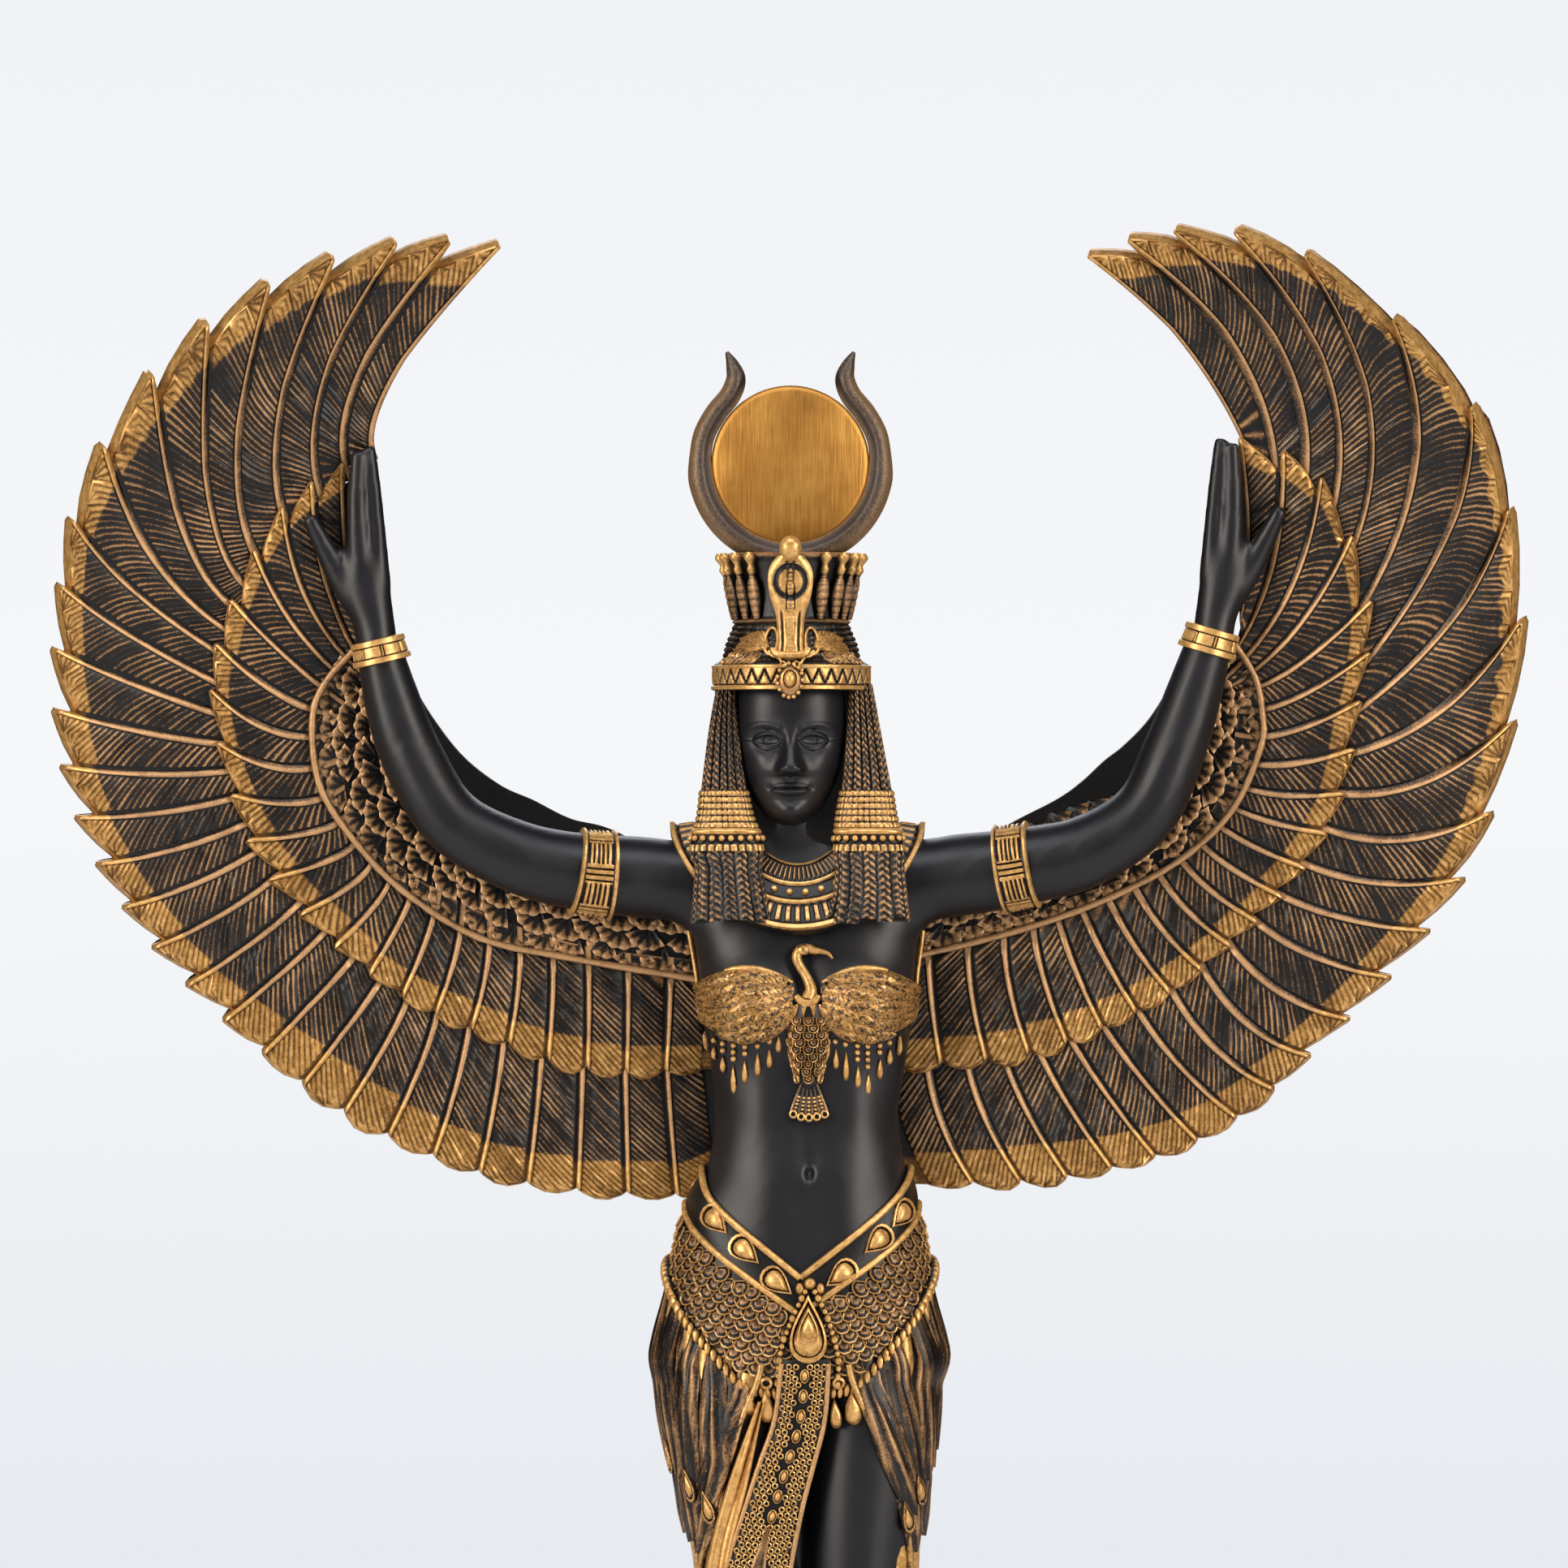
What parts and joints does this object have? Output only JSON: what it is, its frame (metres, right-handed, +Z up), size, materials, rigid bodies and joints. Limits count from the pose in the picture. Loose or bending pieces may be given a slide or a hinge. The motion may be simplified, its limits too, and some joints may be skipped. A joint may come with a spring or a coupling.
{
  "type": "winged goddess statue",
  "caption": "Standing winged goddess figure in black and gold resin, arms raised along spread wings, horned disc crown, on a low plinth.",
  "frame": {"origin": "middle of the plinth's flat underside", "axes": "+Z up, the figure faces -Y, +X towards the figure's left hand"},
  "size_m": [0.5597, 0.132, 0.7309],
  "materials": {
    "black_gold_resin": "satin black paint on cold-cast resin, ornaments in satin gold paint",
    "dry_brushed_resin": "black painted feather relief dry-brushed with antique gold, tips in bright gold paint",
    "gold_paint": "satin gold paint with brush marks, horns in antiqued bronze paint",
    "black_resin": "satin black paint, gold rim line"
  },
  "bodies": {
    "root": {"figure": "black_gold_resin", "right_wing": "dry_brushed_resin", "left_wing": "dry_brushed_resin", "horned_disc": "gold_paint", "plinth": "black_resin"}
  },
  "joints": []
}
